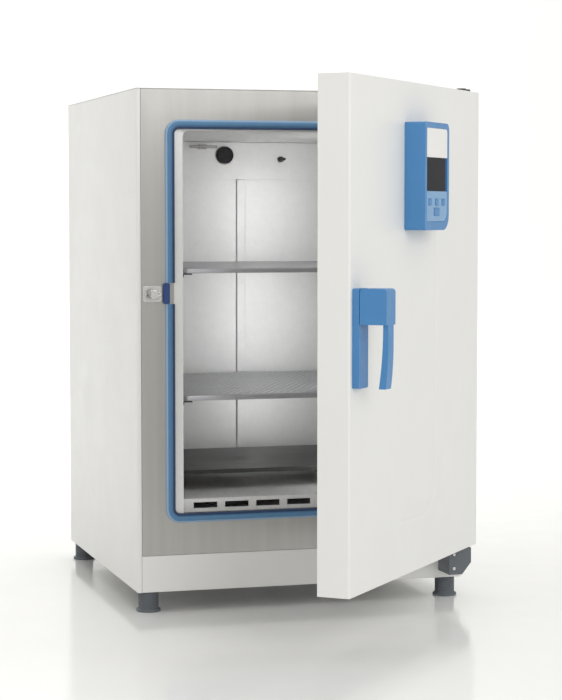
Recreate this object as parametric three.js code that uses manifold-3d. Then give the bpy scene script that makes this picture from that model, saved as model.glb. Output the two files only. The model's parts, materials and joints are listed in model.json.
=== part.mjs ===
// Laboratory incubator with one insulated door, a stainless chamber and three shelf levels.
// Units are millimetres, +Z is up, -Y is the front. While it is being built, X runs from the
// cabinet's left side, Y from the front frame's face and Z from the cabinet's underside.
// The last lines move the origin to the middle of the footprint, on the floor.
import * as THREE from "three";
import { mergeVertices } from "three/addons/utils/BufferGeometryUtils.js";
import Module from "manifold-3d";

const wasm = await Module();
wasm.setup();

// ---------------------------------------------------------------- driving dimensions

const CLEAR = 0.3; // gap between pieces that touch
const SHEET = 2; // folded sheet metal

const cabinet = { width: 640, depth: 668, height: 932, edgeRadius: 4, frontReturn: 8, rearReturn: 12 };
const fasciaHeight = 68;
const feet = { height: 38, radius: 19, padRadius: 23, padHeight: 5, inset: 25, studRadius: 5 };

const chamber = { left: 88, right: 552, bottom: 140, top: 854, back: 583, cornerRadius: 12 };
const frameHole = { left: 70, right: 570, bottom: 146, top: 857, cornerRadius: 14 };
const seal = { width: 17, thickness: 8, cornerRadius: 26 };
const baffle = { front: 30, top: 168, apronBottom: 143 };
const airSlots = { count: 7, pitch: 61, width: 46, height: 11, drop: 7 };
const ductCover = { bottom: 775, front: 575 };
const port = { x: 320, z: 826, bore: 17, wall: 2 };
const sensor = { x: 444, z: 818, hole: 4.5 };

const rail = { thickness: 4, width: 18, bottom: 172, top: 770, frontY: 45, rearY: 520 };
const support = { width: 18, height: 7, lip: 2.5 };
const shelfSide = 93.5; // left edge of every shelf
// Each shelf level: top surface, depth of its front edge inside the chamber, front-to-back length, lip.
const shelves = [
  { name: "shelf_top", level: "top", top: 600, front: 25, depth: 535, lip: 9 },
  { name: "shelf_middle", level: "middle", top: 363, front: 25, depth: 535, lip: 10 },
  { name: "lower_tray", level: "lower", top: 208, front: 140, depth: 360, lip: 8 },
];

const door = { thickness: 58, gap: 9, bottom: 70, top: 930, openDegrees: 49.3, padHeight: 6 };
door.inner = -door.gap;
door.outer = door.inner - door.thickness;
const pin = { inset: 20, radius: 5, holeRadius: 6, reach: 28 };
pin.x = cabinet.width - pin.inset;
pin.y = door.inner - door.thickness / 2;
const bracket = { left: 592, right: 637, bottom: 15, top: 66, reach: 60, chamferWidth: 18, chamferHeight: 23 };

const strike = { x: 29, z: 554, shaftRadius: 4, headRadius: 9, tip: -30 };
const handle = { left: 9, right: 49, bottom: 416, top: 580, plate: 12, reach: 60 };
handle.blockBottom = 521;
handle.gripWidth = 24;
handle.middle = (handle.left + handle.right) / 2;
handle.pivot = { offset: 20, z: 573, radius: 3 };

const panel = { left: 245, right: 366, bottom: 673, top: 860, depth: 38, recess: 3 };
const key = { width: 15, height: 11, pitch: 33, x: 304, z: 722, proud: 1, backClear: 1.1 };
const wideKey = { width: 26, height: 13, z: 705 };

const inlet = { x: 560, z: 35, flangeWidth: 50, flangeHeight: 30, width: 27.4, height: 19.4, depth: 26 };

// ---------------------------------------------------------------- materials

function finish(color, roughness, metalness = 0) {
  return new THREE.MeshStandardMaterial({ color, roughness, metalness });
}

const looks = {
  whitePaint: finish(0xebebe8, 0.45),
  stainless: finish(0xb6b4ae, 0.35, 0.9),
  brightStainless: finish(0xdcdcda, 0.25, 0.9),
  blueRubber: finish(0x3c5f91, 0.6),
  darkBlue: finish(0x2c4268, 0.5),
  bluePlastic: finish(0x4680be, 0.4),
  paleBlue: finish(0x7db0e0, 0.4),
  whitePlastic: finish(0xf2f2ee, 0.4),
  blackGlass: finish(0x15171c, 0.15),
  slatePlastic: finish(0x5a646c, 0.6),
  blackRubber: finish(0x1c1c1e, 0.8),
  mineralWool: finish(0xd8d0a8, 0.95),
  steel: finish(0x9a9a98, 0.4, 0.9),
  darkSteel: finish(0x4a4b50, 0.4, 0.7),
  circuitGreen: finish(0x2c6b45, 0.6),
};

// ---------------------------------------------------------------- shape helpers

// A closed triangle mesh as a solid for joining and cutting.
function solidOf(geometry) {
  const bare = geometry.index ? geometry.toNonIndexed() : geometry.clone();
  bare.deleteAttribute("normal");
  bare.deleteAttribute("uv");
  const merged = mergeVertices(bare, 1e-4);
  const mesh = new wasm.Mesh({
    numProp: 3,
    vertProperties: merged.attributes.position.array,
    triVerts: new Uint32Array(merged.index.array),
  });
  return new wasm.Manifold(mesh);
}

function geometryOf(solid) {
  const mesh = solid.getMesh();
  const geometry = new THREE.BufferGeometry();
  geometry.setAttribute("position", new THREE.BufferAttribute(mesh.vertProperties, 3));
  geometry.setIndex(new THREE.BufferAttribute(mesh.triVerts, 1));
  const faceted = geometry.toNonIndexed();
  faceted.computeVertexNormals();
  return faceted;
}

const join = (...pieces) => geometryOf(pieces.map(solidOf).reduce((all, piece) => all.add(piece)));

function cut(piece, ...tools) {
  return geometryOf(tools.map(solidOf).reduce((left, tool) => left.subtract(tool), solidOf(piece)));
}

function box(x0, x1, y0, y1, z0, z1) {
  const geometry = new THREE.BoxGeometry(x1 - x0, y1 - y0, z1 - z0);
  return geometry.translate((x0 + x1) / 2, (y0 + y1) / 2, (z0 + z1) / 2);
}

// A rectangle whose corners are rounded in the order bottom left, bottom right, top right, top left.
function roundedRect(x0, x1, y0, y1, radii) {
  const [a, b, c, d] = Array.isArray(radii) ? radii : [radii, radii, radii, radii];
  const shape = new THREE.Shape();
  shape.moveTo(x0 + a, y0);
  shape.lineTo(x1 - b, y0);
  shape.absarc(x1 - b, y0 + b, b, -Math.PI / 2, 0);
  shape.lineTo(x1, y1 - c);
  shape.absarc(x1 - c, y1 - c, c, 0, Math.PI / 2);
  shape.lineTo(x0 + d, y1);
  shape.absarc(x0 + d, y1 - d, d, Math.PI / 2, Math.PI);
  shape.lineTo(x0, y0 + a);
  shape.absarc(x0 + a, y0 + a, a, Math.PI, 1.5 * Math.PI);
  return shape;
}

function rect(x0, x1, y0, y1) {
  return new THREE.Shape([
    new THREE.Vector2(x0, y0),
    new THREE.Vector2(x1, y0),
    new THREE.Vector2(x1, y1),
    new THREE.Vector2(x0, y1),
  ]);
}

// An outline as straight steps, without the repeated points that arcs leave at their ends.
function stepped(outline, curveSteps) {
  const points = outline.getPoints(curveSteps);
  return points.filter((point, index) => point.distanceTo(points.at(index - 1)) > 1e-6);
}

function extrude(outline, depth, curveSteps = 3, bevel = { bevelEnabled: false }) {
  const shape = new THREE.Shape(stepped(outline, curveSteps));
  shape.holes = outline.holes.map((hole) => new THREE.Path(stepped(hole, curveSteps)));
  return new THREE.ExtrudeGeometry(shape, { depth, ...bevel });
}

// A shape drawn in X and Z, thick from front to back.
function upright(shape, front, back, curveSteps) {
  return extrude(shape, back - front, curveSteps).rotateX(Math.PI / 2).translate(0, back, 0);
}

// A shape drawn in X and Y, thick from bottom to top.
function level(shape, bottom, top, curveSteps) {
  return extrude(shape, top - bottom, curveSteps).translate(0, 0, bottom);
}

// A side profile drawn in Y and Z, wide from left to right.
function sideways(shape, left, right, curveSteps) {
  const turn = new THREE.Matrix4().makeBasis(
    new THREE.Vector3(0, 1, 0),
    new THREE.Vector3(0, 0, 1),
    new THREE.Vector3(1, 0, 0),
  );
  return extrude(shape, right - left, curveSteps).applyMatrix4(turn).translate(left, 0, 0);
}

// A turned piece about the vertical through (x, y): profile points are [radius, z], from the axis
// at the bottom, outside, to the axis at the top.
function turned(profile, x, y, segments = 20) {
  const points = profile.map(([radius, z]) => new THREE.Vector2(radius, z));
  return new THREE.LatheGeometry(points, segments).rotateX(Math.PI / 2).translate(x, y, 0);
}

// A turned piece about a front-to-back line at (x, z): profile points are [radius, y], front first.
function turnedAlongY(profile, x, z, segments = 20) {
  const points = profile.map(([radius, y]) => new THREE.Vector2(radius, y));
  return new THREE.LatheGeometry(points, segments).translate(x, 0, z);
}

const rod = (radius, z0, z1, x, y, segments) =>
  turned([[0, z0], [radius, z0], [radius, z1], [0, z1]], x, y, segments);

function rodAlongX(radius, x0, x1, y, z, segments = 16) {
  const cylinder = new THREE.CylinderGeometry(radius, radius, x1 - x0, segments);
  return cylinder.rotateZ(Math.PI / 2).translate((x0 + x1) / 2, y, z);
}

function addTo(parent, name, geometry, material) {
  const mesh = new THREE.Mesh(geometry, material);
  mesh.name = name;
  parent.add(mesh);
}

// ---------------------------------------------------------------- casing

// A side panel's plan: the side sheet with a rounded return at the front and at the back.
function sidePanelPlan() {
  const { depth, edgeRadius: outer, frontReturn, rearReturn } = cabinet;
  const inner = outer - SHEET;
  const plan = new THREE.Shape();
  plan.moveTo(frontReturn, 0);
  plan.lineTo(frontReturn, SHEET);
  plan.lineTo(outer, SHEET);
  plan.absarc(outer, outer, inner, 1.5 * Math.PI, Math.PI, true);
  plan.lineTo(SHEET, depth - outer);
  plan.absarc(outer, depth - outer, inner, Math.PI, Math.PI / 2, true);
  plan.lineTo(rearReturn, depth - SHEET);
  plan.lineTo(rearReturn, depth);
  plan.lineTo(outer, depth);
  plan.absarc(outer, depth - outer, outer, Math.PI / 2, Math.PI);
  plan.lineTo(0, outer);
  plan.absarc(outer, outer, outer, Math.PI, 1.5 * Math.PI);
  return plan;
}

function mirrored(geometry) {
  const flipped = geometry.clone().applyMatrix4(new THREE.Matrix4().makeScale(-1, 1, 1));
  const order = flipped.index ? flipped.toNonIndexed() : flipped;
  const position = order.attributes.position;
  for (let corner = 0; corner < position.count; corner += 3) {
    const [x, y, z] = [position.getX(corner), position.getY(corner), position.getZ(corner)];
    position.setXYZ(corner, position.getX(corner + 2), position.getY(corner + 2), position.getZ(corner + 2));
    position.setXYZ(corner + 2, x, y, z);
  }
  return order.translate(cabinet.width, 0, 0);
}

function addCasing(parent) {
  const { width, depth, height, edgeRadius, frontReturn, rearReturn } = cabinet;
  const coverBottom = height - SHEET;
  const panelTop = coverBottom - CLEAR;
  const side = level(sidePanelPlan(), 0, panelTop, 3);
  addTo(parent, "side_panel_left", side, looks.whitePaint);
  addTo(parent, "side_panel_right", mirrored(side), looks.whitePaint);

  const lipDrop = 15;
  const lipLeft = SHEET + CLEAR;
  const lipRight = width - lipLeft;
  const lipFront = edgeRadius + SHEET;
  const lipBack = depth - lipFront;
  const cover = join(
    level(roundedRect(0, width, 0, depth, edgeRadius), coverBottom, height, 3),
    box(lipLeft, lipLeft + SHEET, lipFront, lipBack, coverBottom - lipDrop, coverBottom + 1),
    box(lipRight - SHEET, lipRight, lipFront, lipBack, coverBottom - lipDrop, coverBottom + 1),
  );
  addTo(parent, "top_cover", cover, looks.whitePaint);

  const rear = rect(rearReturn + CLEAR, width - rearReturn - CLEAR, CLEAR, panelTop);
  const portHole = new THREE.Path().absarc(port.x, port.z, port.bore + port.wall + 0.5, 0, 2 * Math.PI, true);
  const halfWidth = inlet.width / 2 + 0.4;
  const halfHeight = inlet.height / 2 + 0.4;
  rear.holes.push(portHole);
  rear.holes.push(rect(inlet.x - halfWidth, inlet.x + halfWidth, inlet.z - halfHeight, inlet.z + halfHeight));
  addTo(parent, "rear_panel", upright(rear, depth - SHEET, depth, 10), looks.whitePaint);

  const panSide = SHEET + CLEAR;
  const pan = roundedRect(panSide, width - panSide, panSide, depth - panSide, edgeRadius);
  for (const { x, y } of footPlaces()) {
    pan.holes.push(new THREE.Path().absarc(x, y, feet.studRadius + 0.6, 0, 2 * Math.PI, true));
  }
  addTo(parent, "base_pan", level(pan, 0, SHEET, 8), looks.steel);

  const fasciaLeft = frontReturn + CLEAR;
  const fascia = join(
    box(fasciaLeft, width - fasciaLeft, 0, SHEET, CLEAR, fasciaHeight),
    box(fasciaLeft, width - fasciaLeft, SHEET - 1, 14, fasciaHeight - SHEET, fasciaHeight),
  );
  addTo(parent, "base_fascia", fascia, looks.whitePaint);

  const frame = rect(fasciaLeft, width - fasciaLeft, fasciaHeight + CLEAR, panelTop);
  frame.holes.push(
    roundedRect(frameHole.left, frameHole.right, frameHole.bottom, frameHole.top, frameHole.cornerRadius),
  );
  addTo(parent, "front_frame", upright(frame, 0, SHEET), looks.stainless);
}

// ---------------------------------------------------------------- feet

function footPlaces() {
  const { inset } = feet;
  const right = cabinet.width - inset;
  const back = cabinet.depth - inset;
  return [
    { name: "foot_front_left", x: inset, y: inset },
    { name: "foot_front_right", x: right, y: inset },
    { name: "foot_rear_left", x: inset, y: back },
    { name: "foot_rear_right", x: right, y: back },
  ];
}

function addFeet(parent) {
  const { height, radius, padRadius, padHeight, studRadius } = feet;
  const topGap = 1;
  const studTop = 14;
  const shoulder = 2;
  const profile = [
    [0, -height],
    [padRadius, -height],
    [padRadius, padHeight - height],
    [radius, padHeight + 1 - height],
    [radius, -topGap - shoulder],
    [radius - shoulder, -topGap],
    [studRadius, -topGap],
    [studRadius, studTop],
    [0, studTop],
  ];
  for (const { name, x, y } of footPlaces()) {
    addTo(parent, name, turned(profile, x, y, 16), looks.slatePlastic);
  }
}

// ---------------------------------------------------------------- chamber

function addChamber(parent) {
  const { left, right, bottom, top, back, cornerRadius } = chamber;
  const flangeFront = SHEET + 0.5;
  const flangeReach = 26;
  const opening = roundedRect(left, right, bottom, top, cornerRadius);
  const flange = rect(left - flangeReach, right + flangeReach, bottom - 5, top + flangeReach / 2);
  flange.holes.push(opening);
  const outer = [left - SHEET, right + SHEET, bottom - SHEET, top + SHEET, cornerRadius + SHEET];
  const tube = roundedRect(...outer);
  tube.holes.push(opening);
  const wall = roundedRect(...outer);
  wall.holes.push(new THREE.Path().absarc(port.x, port.z, port.bore + port.wall + 1, 0, 2 * Math.PI, true));
  wall.holes.push(new THREE.Path().absarc(sensor.x, sensor.z, sensor.hole, 0, 2 * Math.PI, true));
  const liner = join(
    upright(flange, flangeFront, flangeFront + SHEET),
    upright(tube, flangeFront + 1, back + 1),
    upright(wall, back, back + SHEET, 8),
  );
  addTo(parent, "chamber_liner", liner, looks.brightStainless);

  const cover = roundedRect(left + 2, right - 2, ductCover.bottom, top - 1, [1, 1, cornerRadius, cornerRadius]);
  cover.holes.push(new THREE.Path().absarc(port.x, port.z, port.bore + port.wall + 1, 0, 2 * Math.PI, true));
  cover.holes.push(new THREE.Path().absarc(sensor.x, sensor.z, sensor.hole + 2, 0, 2 * Math.PI, true));
  addTo(parent, "upper_duct_cover", upright(cover, ductCover.front, back - CLEAR, 8), looks.brightStainless);

  const cableCover = { left: 348, right: 368, depth: 5 };
  const strip = box(
    cableCover.left,
    cableCover.right,
    back - cableCover.depth,
    back - CLEAR,
    baffle.top + 1,
    ductCover.bottom - CLEAR,
  );
  addTo(parent, "rear_cable_cover", strip, looks.brightStainless);

  // The false floor stands on its two side flanges, and its front apron has the air slots.
  const side = left + 0.4;
  const otherSide = right - 0.4;
  const legBottom = bottom + CLEAR;
  const legInset = cornerRadius + SHEET;
  const deck = back - 1;
  const slotTop = baffle.top - airSlots.drop;
  const slots = Array.from({ length: airSlots.count }, (_, index) => {
    const x = (left + right) / 2 + (index - (airSlots.count - 1) / 2) * airSlots.pitch;
    const half = airSlots.width / 2;
    return box(x - half, x + half, baffle.front - 1, baffle.front + 5, slotTop - airSlots.height, slotTop);
  });
  const apronCorners = [cornerRadius, cornerRadius, 1, 1];
  const apronShape = roundedRect(side, otherSide, baffle.apronBottom, baffle.top, apronCorners);
  const apron = upright(apronShape, baffle.front, baffle.front + SHEET);
  const floor = join(
    cut(apron, ...slots),
    box(side, otherSide, baffle.front + 1, deck, baffle.top - SHEET, baffle.top),
    box(side + cornerRadius, side + legInset, baffle.front + 1, deck, legBottom, baffle.top - 1),
    box(otherSide - legInset, otherSide - cornerRadius, baffle.front + 1, deck, legBottom, baffle.top - 1),
  );
  addTo(parent, "floor_baffle", floor, looks.brightStainless);
  addTo(parent, "heater_element", heater(), looks.darkSteel);
}

// A tubular heater laid in flat loops under the false floor.
function heater() {
  const height = 152;
  const radius = 4;
  const [left, right] = [chamber.left + 60, chamber.right - 60];
  const [front, back] = [110, 480];
  const runs = 4;
  const pitch = (right - left) / (runs - 1);
  const path = new THREE.CurvePath();
  for (let run = 0; run < runs; run += 1) {
    const x = left + run * pitch;
    const ends = run % 2 ? [front, back] : [back, front];
    const [start, end] = ends.map((y) => new THREE.Vector3(x, y, height));
    path.add(new THREE.LineCurve3(start, end));
    if (run === runs - 1) continue;
    const turn = (ends[1] === front ? -1 : 1) * pitch * 0.6;
    path.add(
      new THREE.CubicBezierCurve3(
        new THREE.Vector3(x, ends[1], height),
        new THREE.Vector3(x, ends[1] + turn * 0.8, height),
        new THREE.Vector3(x + pitch, ends[1] + turn * 0.8, height),
        new THREE.Vector3(x + pitch, ends[1], height),
      ),
    );
  }
  const section = new THREE.Shape();
  const sides = 6;
  for (let corner = 0; corner < sides; corner += 1) {
    const angle = (corner / sides) * 2 * Math.PI;
    const point = [radius * Math.cos(angle), radius * Math.sin(angle)];
    if (corner === 0) section.moveTo(...point);
    else section.lineTo(...point);
  }
  return new THREE.ExtrudeGeometry(section, { steps: 44, extrudePath: path, bevelEnabled: false });
}

// ---------------------------------------------------------------- seal and catch

function addSealAndCatch(parent) {
  const bulge = 2.5;
  const left = frameHole.left + 1 - seal.width;
  const right = frameHole.right - 1 + seal.width;
  const bottom = frameHole.bottom - seal.width;
  const top = frameHole.top + seal.width;
  const ring = roundedRect(left + bulge, right - bulge, bottom + bulge, top - bulge, seal.cornerRadius - bulge);
  ring.holes.push(
    roundedRect(
      left + seal.width - bulge,
      right - seal.width + bulge,
      bottom + seal.width - bulge,
      top - seal.width + bulge,
      frameHole.cornerRadius + bulge - 2,
    ),
  );
  const straight = seal.thickness - 2 * bulge;
  const loop = extrude(ring, straight, 3, { bevelThickness: bulge, bevelSize: bulge, bevelSegments: 2 });
  loop.rotateX(Math.PI / 2).translate(0, -CLEAR - bulge, 0);
  const contact = { left: 49, right: 61, bottom: 536, top: 574 };
  const notch = box(left - 5, contact.right + 0.5, -20, 5, contact.bottom - 0.5, contact.top + 0.5);
  addTo(parent, "door_seal", cut(loop, notch), looks.blueRubber);
  const block = upright(
    roundedRect(contact.left, contact.right, contact.bottom, contact.top, 3),
    -seal.thickness,
    -CLEAR,
    2,
  );
  addTo(parent, "door_contact", block, looks.darkBlue);

  const plate = { halfWidth: 18, halfHeight: 15, front: -SHEET - CLEAR };
  const plateShape = roundedRect(
    strike.x - plate.halfWidth,
    strike.x + plate.halfWidth,
    strike.z - plate.halfHeight,
    strike.z + plate.halfHeight,
    4,
  );
  addTo(parent, "strike_plate", upright(plateShape, plate.front, -CLEAR), looks.steel);
  const headBack = strike.tip + 6;
  const stud = turnedAlongY(
    [
      [0, strike.tip],
      [strike.headRadius - 1.5, strike.tip],
      [strike.headRadius, strike.tip + 1.5],
      [strike.headRadius, headBack],
      [strike.shaftRadius, headBack],
      [strike.shaftRadius, -6],
      [7, -6],
      [7, plate.front - CLEAR],
      [0, plate.front - CLEAR],
    ],
    strike.x,
    strike.z,
    16,
  );
  addTo(parent, "strike_pin", stud, looks.steel);
}

// ---------------------------------------------------------------- insulation and services

function addInsulation(parent) {
  const outerLeft = 5;
  const wrapFront = 15;
  const slabBack = 640;
  const outerRight = cabinet.width - outerLeft;
  const [bottom, top] = [fasciaHeight + 3, cabinet.height - SHEET - 1];
  const wrap = rect(outerLeft, outerRight, bottom, top);
  const around = SHEET + 0.5;
  wrap.holes.push(
    rect(chamber.left - around, chamber.right + around, chamber.bottom - around, chamber.top + around),
  );
  addTo(parent, "insulation_wrap", upright(wrap, wrapFront, chamber.back), looks.mineralWool);
  const slab = rect(outerLeft, outerRight, bottom, top);
  slab.holes.push(new THREE.Path().absarc(port.x, port.z, port.bore + port.wall + 0.5, 0, 2 * Math.PI, true));
  slab.holes.push(new THREE.Path().absarc(sensor.x, sensor.z, sensor.hole - 0.5, 0, 2 * Math.PI, true));
  const slabFront = chamber.back + SHEET + 0.5;
  addTo(parent, "insulation_rear", upright(slab, slabFront, slabBack, 8), looks.mineralWool);
}

function addPortAndSensors(parent) {
  const { x, z, bore, wall } = port;
  const tubeFront = ductCover.front + CLEAR;
  const tube = new THREE.Shape().absarc(x, z, bore + wall, 0, 2 * Math.PI);
  tube.holes.push(new THREE.Path().absarc(x, z, bore, 0, 2 * Math.PI, true));
  addTo(parent, "access_port_tube", upright(tube, tubeFront, cabinet.depth + 1, 12), looks.steel);
  const plugHead = { front: 566, back: ductCover.front - 0.5, radius: bore + 1, shank: 26 };
  const stopper = turnedAlongY(
    [
      [0, plugHead.front],
      [plugHead.radius - 1.5, plugHead.front],
      [plugHead.radius, plugHead.front + 1.5],
      [plugHead.radius, plugHead.back],
      [bore - 0.6, plugHead.back],
      [bore - 1.2, plugHead.back + plugHead.shank],
      [0, plugHead.back + plugHead.shank],
    ],
    x,
    z,
    24,
  );
  addTo(parent, "access_port_plug", stopper, looks.blackRubber);

  const probe = { tip: 540, radius: 3, collarFront: 566, collarBack: 582, collarRadius: 6, end: 600 };
  const stem = sensor.hole - 1;
  const probeShape = turnedAlongY(
    [
      [0, probe.tip],
      [probe.radius, probe.tip + 2],
      [probe.radius, probe.collarFront],
      [probe.collarRadius, probe.collarFront],
      [probe.collarRadius, probe.collarBack],
      [stem, probe.collarBack],
      [stem, probe.end],
      [0, probe.end],
    ],
    sensor.x,
    sensor.z,
    12,
  );
  addTo(parent, "temperature_sensor", probeShape, looks.darkSteel);
  // The limit sensor's bulb lies in a clip on the duct cover.
  const bulb = { left: 240, right: 300, y: 560, z: 843, radius: 3, clipLeft: 262, clipRight: 278, clipHalf: 5 };
  const clipped = join(
    rodAlongX(bulb.radius, bulb.left, bulb.right, bulb.y, bulb.z, 10),
    box(
      bulb.clipLeft,
      bulb.clipRight,
      bulb.y + 2,
      ductCover.front - CLEAR,
      bulb.z - bulb.clipHalf,
      bulb.z + bulb.clipHalf,
    ),
  );
  addTo(parent, "limit_sensor", clipped, looks.stainless);
}

function addServices(parent) {
  const outside = cabinet.depth + CLEAR;
  const flangeBack = outside + 3;
  const { x, z } = inlet;
  const bodyBox = [x - inlet.width / 2, x + inlet.width / 2, outside - inlet.depth, outside + 1];
  const body = join(
    upright(
      roundedRect(
        x - inlet.flangeWidth / 2,
        x + inlet.flangeWidth / 2,
        z - inlet.flangeHeight / 2,
        z + inlet.flangeHeight / 2,
        4,
      ),
      outside,
      flangeBack,
      2,
    ),
    box(...bodyBox, z - inlet.height / 2, z + inlet.height / 2),
  );
  const hollow = { halfWidth: 12, halfHeight: 8, depth: 18 };
  const recessFloor = flangeBack - hollow.depth;
  const recess = box(
    x - hollow.halfWidth,
    x + hollow.halfWidth,
    recessFloor,
    flangeBack + 1,
    z - hollow.halfHeight,
    z + hollow.halfHeight,
  );
  const contact = { pitch: 7, offset: 2, length: 11, halfWidth: 1, halfHeight: 2.5 };
  const blades = [-1, 0, 1].map((place) => {
    const bladeX = x + place * contact.pitch;
    const bladeZ = z + (place ? -contact.offset : contact.offset);
    return box(
      bladeX - contact.halfWidth,
      bladeX + contact.halfWidth,
      recessFloor - 1,
      recessFloor + contact.length,
      bladeZ - contact.halfHeight,
      bladeZ + contact.halfHeight,
    );
  });
  const socket = join(cut(body, recess), ...blades);
  addTo(parent, "power_inlet", socket, looks.blackRubber);

  // The controller stands in the base, on two rails over the pan.
  const board = { left: 380, right: 520, front: 500, back: 630, bottom: 10, top: 12 };
  const railTop = board.bottom + 1;
  const railInset = 5;
  const railWidth = 8;
  const part = (x0, x1, y0, y1, height) => box(x0, x1, y0, y1, board.top - 1, height);
  const transformer = part(395, 440, 580, 622, 52);
  const relays = [455, 482].map((left) => part(left, left + 20, 585, 615, 30));
  const terminals = part(400, 500, 512, 530, 24);
  const boardRails = [board.left + railInset, board.right - railInset - railWidth].map((left) =>
    box(left, left + railWidth, board.front, board.back, SHEET + CLEAR, railTop),
  );
  const electronics = join(
    box(board.left, board.right, board.front, board.back, board.bottom, board.top),
    ...boardRails,
    transformer,
    ...relays,
    terminals,
  );
  addTo(parent, "control_board", electronics, looks.circuitGreen);
}

// ---------------------------------------------------------------- shelf rack and shelves

function addShelves(parent) {
  const wallGap = 0.5;
  const sides = [
    { side: "left", at: (inward) => chamber.left + wallGap + inward },
    { side: "right", at: (inward) => chamber.right - wallGap - inward },
  ];
  const between = (a, b) => [Math.min(a, b), Math.max(a, b)];
  for (const { side, at } of sides) {
    for (const [place, y] of [["front", rail.frontY], ["rear", rail.rearY]]) {
      const across = between(at(0), at(rail.thickness));
      const upstand = box(...across, y, y + rail.width, rail.bottom, rail.top);
      addTo(parent, `shelf_rail_${place}_${side}`, upstand, looks.brightStainless);
    }
    // Each support hooks on the two rails and carries the shelf's edge on its flat.
    for (const { level: name, top, front, depth, lip } of shelves) {
      const inner = rail.thickness + CLEAR;
      const wall = between(at(inner), at(inner + SHEET));
      const flat = between(at(inner), at(inner + support.width));
      const flatTop = top - lip - CLEAR;
      const runner = join(
        box(...wall, front - 2, front + depth, flatTop - support.height, flatTop),
        box(...flat, front - 2, front + depth, flatTop - support.lip, flatTop),
      );
      addTo(parent, `shelf_support_${name}_${side}`, runner, looks.darkSteel);
    }
  }
  for (const { name, top, front, depth, lip } of shelves) {
    const left = shelfSide;
    const right = cabinet.width - shelfSide;
    const back = front + depth;
    const hollow = box(left + SHEET, right - SHEET, front + SHEET, back - SHEET, top - lip - 1, top - SHEET);
    const tray = cut(box(left, right, front, back, top - lip, top), hollow);
    addTo(parent, name, tray, name === "lower_tray" ? looks.darkSteel : looks.stainless);
  }
}

// ---------------------------------------------------------------- hinges

function addHinges(parent) {
  const plan = new THREE.Shape();
  const rounding = 12;
  plan.moveTo(bracket.left, bracket.bottom);
  plan.lineTo(bracket.right - bracket.chamferWidth, bracket.bottom);
  plan.lineTo(bracket.right, bracket.bottom + bracket.chamferHeight);
  plan.lineTo(bracket.right, bracket.top);
  plan.lineTo(bracket.left, bracket.top);
  const pinSeat = 40;
  const lower = cut(
    upright(plan, -bracket.reach, -CLEAR),
    rod(pin.radius + 1 + CLEAR, pinSeat, bracket.top + 1, pin.x, pin.y, 16),
  );
  addTo(parent, "hinge_bracket_bottom", lower, looks.slatePlastic);
  const lowerPin = turned(
    [
      [0, pinSeat + CLEAR],
      [pin.radius + 1, pinSeat + CLEAR],
      [pin.radius + 1, bracket.top + CLEAR],
      [pin.radius + 5, bracket.top + CLEAR],
      [pin.radius + 5, door.bottom - CLEAR],
      [pin.radius, door.bottom - CLEAR],
      [pin.radius, door.bottom + pin.reach],
      [0, door.bottom + pin.reach],
    ],
    pin.x,
    pin.y,
    16,
  );
  addTo(parent, "hinge_pin_bottom", lowerPin, looks.steel);

  const plateBottom = door.top + 1.2;
  const plateTop = plateBottom + 4;
  const tongueLeft = pin.x - 15;
  const tongueRight = pin.x + 14;
  const upper = cut(
    join(
      level(
        roundedRect(tongueLeft, tongueRight, pin.y - 20, -CLEAR, [rounding, rounding, 0.5, 0.5]),
        plateBottom,
        plateTop,
      ),
      box(tongueLeft, tongueRight, -CLEAR - SHEET, -CLEAR, door.top - 50, plateTop - 1),
    ),
    rod(pin.radius + CLEAR, plateBottom - 1, plateTop + 1, pin.x, pin.y, 16),
  );
  addTo(parent, "hinge_bracket_top", upper, looks.darkSteel);
  const headTop = plateTop + CLEAR + 2;
  const upperPin = turned(
    [
      [0, door.top - pin.reach],
      [pin.radius, door.top - pin.reach],
      [pin.radius, plateTop + CLEAR],
      [pin.radius + 4, plateTop + CLEAR],
      [pin.radius + 4, headTop],
      [0, headTop],
    ],
    pin.x,
    pin.y,
    16,
  );
  addTo(parent, "hinge_pin_top", upperPin, looks.darkSteel);
}

// ---------------------------------------------------------------- door, drawn closed

const latchPocket = { left: 12, right: 46, bottom: 500, top: 590 };
const armSlot = { left: 22, right: 36, bottom: handle.blockBottom + 1, top: 560 };

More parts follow.
